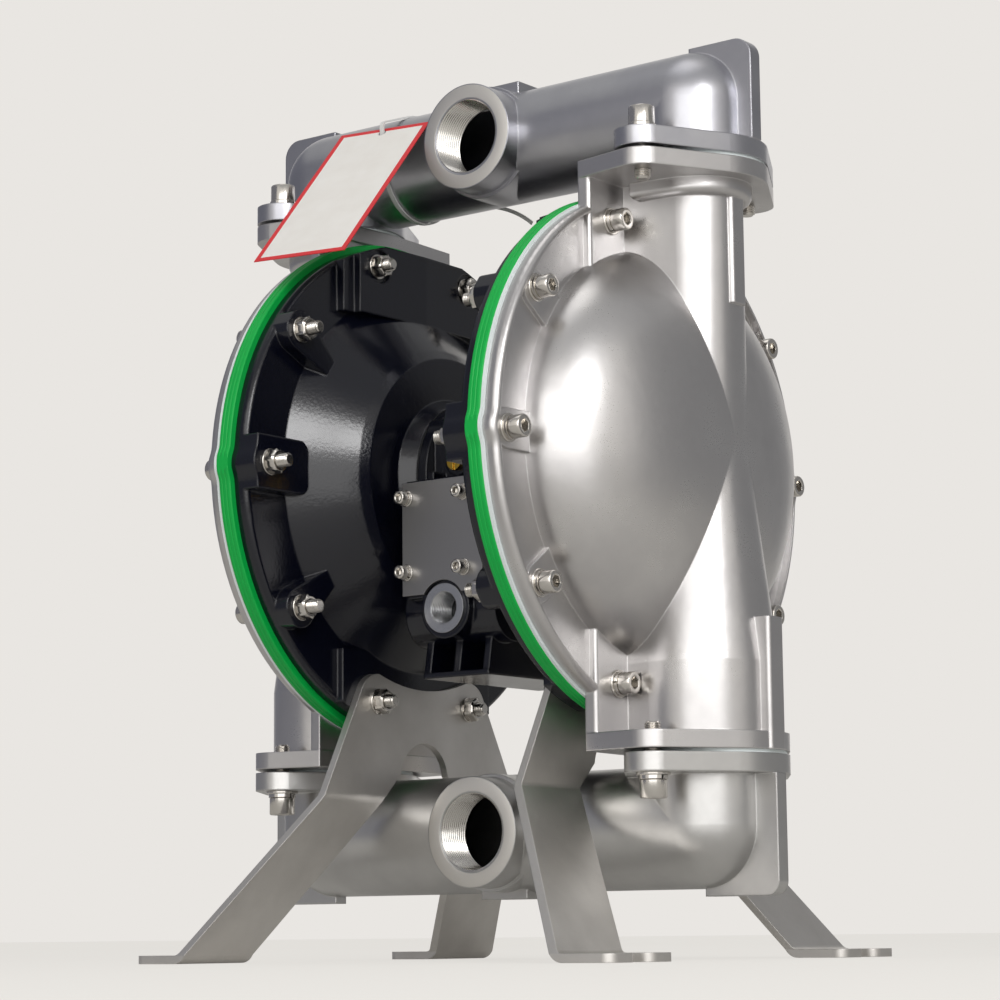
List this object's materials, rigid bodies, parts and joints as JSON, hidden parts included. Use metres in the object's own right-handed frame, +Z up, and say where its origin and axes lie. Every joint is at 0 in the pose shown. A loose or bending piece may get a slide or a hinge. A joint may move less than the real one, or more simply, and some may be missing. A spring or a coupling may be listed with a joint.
{
  "type": "air operated diaphragm pump",
  "caption": "Air operated double diaphragm pump: two round steel liquid chambers on black air caps, threaded ports on the manifolds above and below, on four splayed bracket feet.",
  "frame": {"origin": "on the floor, under the middle of the diaphragm rod", "axes": "+X along the diaphragm rod, -Y the way the ports face, +Z up"},
  "size_m": [0.462, 0.392, 0.66],
  "materials": {
    "cast_stainless": "satin, bead blasted casting",
    "manifold_stainless": "satin, bead blasted casting",
    "sheet_stainless": "satin sheet",
    "plate_stainless": "satin sheet",
    "seat_stainless": "machined",
    "fastener_steel": "bright",
    "inlet_steel": "machined",
    "dark_steel": "oiled",
    "black_paint": "satin gloss",
    "green_rubber": "matt",
    "black_rubber": "matt",
    "white_ptfe": "waxy",
    "brass": "polished",
    "bronze": "machined",
    "card": "white card with a red border",
    "tie_plastic": "translucent"
  },
  "bodies": {
    "pump": {"air_cap_left": "black_paint", "air_cap_right": "black_paint", "air_inlet_bushing": "inlet_steel", "brass_plug": "brass", "cap_bolts": "dark_steel", "cap_gasket_left": "black_rubber", "cap_gasket_right": "black_rubber", "center_block": "black_paint", "diaphragm_left": "green_rubber", "diaphragm_right": "green_rubber", "discharge_manifold": "manifold_stainless", "discharge_seat_left": "seat_stainless", "discharge_seat_right": "seat_stainless", "flange_gaskets": "white_ptfe", "flange_screws_bottom": "fastener_steel", "flange_screws_top": "fastener_steel", "flange_washers_bottom": "fastener_steel", "flange_washers_top": "fastener_steel", "leg_bracket_left": "sheet_stainless", "leg_bracket_right": "sheet_stainless", "liquid_cover_left": "cast_stainless", "liquid_cover_right": "cast_stainless", "overlay_diaphragm_left": "white_ptfe", "overlay_diaphragm_right": "white_ptfe", "pilot_bushes": "bronze", "rim_nuts_left": "fastener_steel", "rim_nuts_right": "fastener_steel", "rim_screws_left": "fastener_steel", "rim_screws_right": "fastener_steel", "rim_spring_washers_left": "fastener_steel", "rim_spring_washers_right": "fastener_steel", "rim_washers_left": "fastener_steel", "rim_washers_right": "fastener_steel", "rod_bush_left": "bronze", "rod_bush_right": "bronze", "rod_seals": "black_rubber", "suction_manifold": "manifold_stainless", "suction_seat_left": "seat_stainless", "suction_seat_right": "seat_stainless", "tag_tie": "tie_plastic", "valve_cover_gasket": "black_rubber", "valve_cover_plate": "plate_stainless", "valve_cover_screws": "fastener_steel", "valve_cover_washers": "fastener_steel", "valve_end_plugs": "inlet_steel", "valve_sleeve": "bronze"},
    "shaft": {"diaphragm_rod": "inlet_steel", "inner_plate_right": "seat_stainless", "inner_plate_left": "seat_stainless", "outer_plate_right": "seat_stainless", "outer_plate_left": "seat_stainless"},
    "discharge_ball_right": {"discharge_ball_right": "white_ptfe"},
    "discharge_ball_left": {"discharge_ball_left": "white_ptfe"},
    "suction_ball_right": {"suction_ball_right": "white_ptfe"},
    "suction_ball_left": {"suction_ball_left": "white_ptfe"},
    "valve_spool": {"valve_spool": "inlet_steel"},
    "pilot_rod": {"pilot_rod": "inlet_steel"},
    "hang_tag": {"hang_tag": "card"}
  },
  "joints": [
    {"name": "shaft_stroke", "type": "slide", "parent": "pump", "child": "shaft", "axis": [1, 0, 0], "range_m": [-0.02, 0.02], "deforming": ["diaphragm_right", "diaphragm_left", "overlay_diaphragm_right", "overlay_diaphragm_left"]},
    {"name": "discharge_ball_right_lift", "type": "slide", "parent": "pump", "child": "discharge_ball_right", "axis": [0, 0, 1], "range_m": [0, 0.015]},
    {"name": "discharge_ball_left_lift", "type": "slide", "parent": "pump", "child": "discharge_ball_left", "axis": [0, 0, 1], "range_m": [0, 0.015]},
    {"name": "suction_ball_right_lift", "type": "slide", "parent": "pump", "child": "suction_ball_right", "axis": [0, 0, 1], "range_m": [0, 0.015]},
    {"name": "suction_ball_left_lift", "type": "slide", "parent": "pump", "child": "suction_ball_left", "axis": [0, 0, 1], "range_m": [0, 0.015]},
    {"name": "spool_shift", "type": "slide", "parent": "pump", "child": "valve_spool", "axis": [1, 0, 0], "range_m": [-0.008, 0.008]},
    {"name": "pilot_shift", "type": "slide", "parent": "pump", "child": "pilot_rod", "axis": [1, 0, 0], "range_m": [-0.006, 0.006]},
    {"name": "tag_swing", "type": "hinge", "parent": "pump", "child": "hang_tag", "pos_m": [-0.089, -0.0399, 0.6375], "axis": [-1, 0, 0], "range_deg": [-4, 30]}
  ]
}
